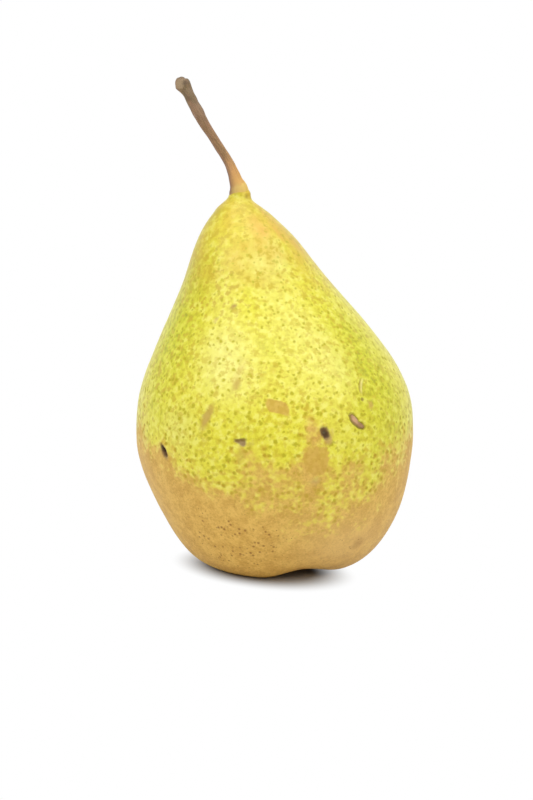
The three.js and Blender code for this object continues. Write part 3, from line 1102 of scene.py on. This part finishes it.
# Here lengths are in metres, apart from the shadow's and the lens's.
TABLE_RADIUS = 3.0
TABLE_SIDES = 96
WHITE = (1, 1, 1, 1)
# Painted shadow: round the foot, the camera sees the floor darker than the light it throws back on the
# pear.
TABLE_IN_SHADOW = (0.33, 0.33, 0.33, 1)  # as it is seen under the pear
TABLE_TO_THE_PEAR = (0.88, 0.88, 0.88, 1)  # as it throws light back on the pear

# The painted shadow round the foot is an oval that points to the front right. Inside it the camera sees the
# floor in a darker grey under the pear's real shadow; beyond it the floor is plain white.
SHADOW_MIDDLE = (-3.0, -7.5, 0.0)
SHADOW_TURN = (0.0, 0.0, math.radians(-47))
SHADOW_SHAPE = (1.3, 0.85, 1.0)
SHADOW_REACH = (11.2, 22.0)  # from its middle to where it starts to fade, and ends


def table_material():
    """White to the camera and to reflections, apart from a painted shadow round the pear's foot, where the
    floor is a darker grey under its real shadow.
    """
    s = Shader("white_table")
    path = s.node("LightPath")
    seen = s.math("MAXIMUM", path.outputs["Is Camera Ray"], path.outputs["Is Glossy Ray"])
    shape = {"Vector": s.place, "Location": SHADOW_MIDDLE, "Rotation": SHADOW_TURN, "Scale": SHADOW_SHAPE}
    oval_place = s.node("Mapping", shape, vector_type="TEXTURE").outputs[0]
    out = s.node("VectorMath", {0: oval_place}, operation="LENGTH").outputs["Value"]
    white = s.math("MULTIPLY", seen, s.step(out, *SHADOW_REACH))
    colour = s.blend(seen, TABLE_TO_THE_PEAR, TABLE_IN_SHADOW)
    shaded = s.node("BsdfDiffuse", {"Color": colour}).outputs[0]
    plain = s.node("Emission", {"Color": WHITE, "Strength": 1.0}).outputs[0]
    shader = s.node("MixShader", {0: white, 1: shaded, 2: plain}).outputs[0]
    s.tree.links.new(shader, s.node("OutputMaterial").inputs["Surface"])
    return s.material


bpy.ops.mesh.primitive_circle_add(vertices=TABLE_SIDES, radius=TABLE_RADIUS, fill_type="NGON")
floor = bpy.context.object
floor.name = "table_top"
floor.data.materials.append(table_material())

# White all round: the camera and reflections see it at full strength.
AMBIENT = 0.4  # its strength as light on the pear
world = bpy.data.worlds.new("studio")
bpy.context.scene.world = world
world.use_nodes = True
links = world.node_tree.links
nodes = world.node_tree.nodes
rays = nodes.new("ShaderNodeLightPath")
either = nodes.new("ShaderNodeMath")
either.operation = "MAXIMUM"
links.new(rays.outputs["Is Camera Ray"], either.inputs[0])
links.new(rays.outputs["Is Glossy Ray"], either.inputs[1])
strength = nodes.new("ShaderNodeMapRange")
strength.inputs["To Min"].default_value = AMBIENT
links.new(either.outputs[0], strength.inputs["Value"])
nodes["Background"].inputs["Color"].default_value = WHITE
links.new(strength.outputs[0], nodes["Background"].inputs["Strength"])

# Each softbox has its name, its place, its side and its power in watts. All face the pear's middle.
SOFTBOXES = (
    ("key_softbox", (-0.45, -0.62, 0.68), 0.55, 2.2),
    ("fill_softbox", (0.45, -0.62, 0.68), 0.55, 1.3),
    ("left_softbox", (-0.82, -0.36, 0.75), 0.35, 1.4),
    ("right_softbox", (0.82, -0.36, 0.72), 0.35, 2.0),
    ("overhead_softbox", (0, 0, 1.0), 0.8, 4.0),
)
pear_middle = Vector((0, 0, cad_high.z / 2))
for name, place, side, power in SOFTBOXES:
    light = bpy.data.lights.new(name, "AREA")
    light.shape = "SQUARE"
    light.size = side
    light.energy = power
    softbox = bpy.data.objects.new(name, light)
    bpy.context.scene.collection.objects.link(softbox)
    softbox.location = place
    softbox.rotation_euler = (pear_middle - Vector(place)).to_track_quat("-Z", "Y").to_euler()

# The camera looks 10 degrees down at a point a third of the way up, a little left of the middle.
AIM_SHARES = (0.4706, 0.5, 0.3406)  # of the whole pear's box
ELEVATION = math.radians(10)
DISTANCE = 561 * UNIT
LENS = 100  # millimetres
SENSOR = 36
NEAREST_SEEN = 0.05
FARTHEST_SEEN = 20

aim = Vector([low + (high - low) * share for low, high, share in zip(cad_low, cad_high, AIM_SHARES)])
lens = bpy.data.cameras.new("camera")
lens.lens = LENS
lens.sensor_width = SENSOR
lens.clip_start = NEAREST_SEEN
lens.clip_end = FARTHEST_SEEN
camera = bpy.data.objects.new("camera", lens)
bpy.context.scene.collection.objects.link(camera)
back = Vector((0, -math.cos(ELEVATION), math.sin(ELEVATION)))
camera.location = aim + back * DISTANCE
camera.rotation_euler = (-back).to_track_quat("-Z", "Y").to_euler()
bpy.context.scene.camera = camera
bpy.context.scene.view_settings.view_transform = "Standard"
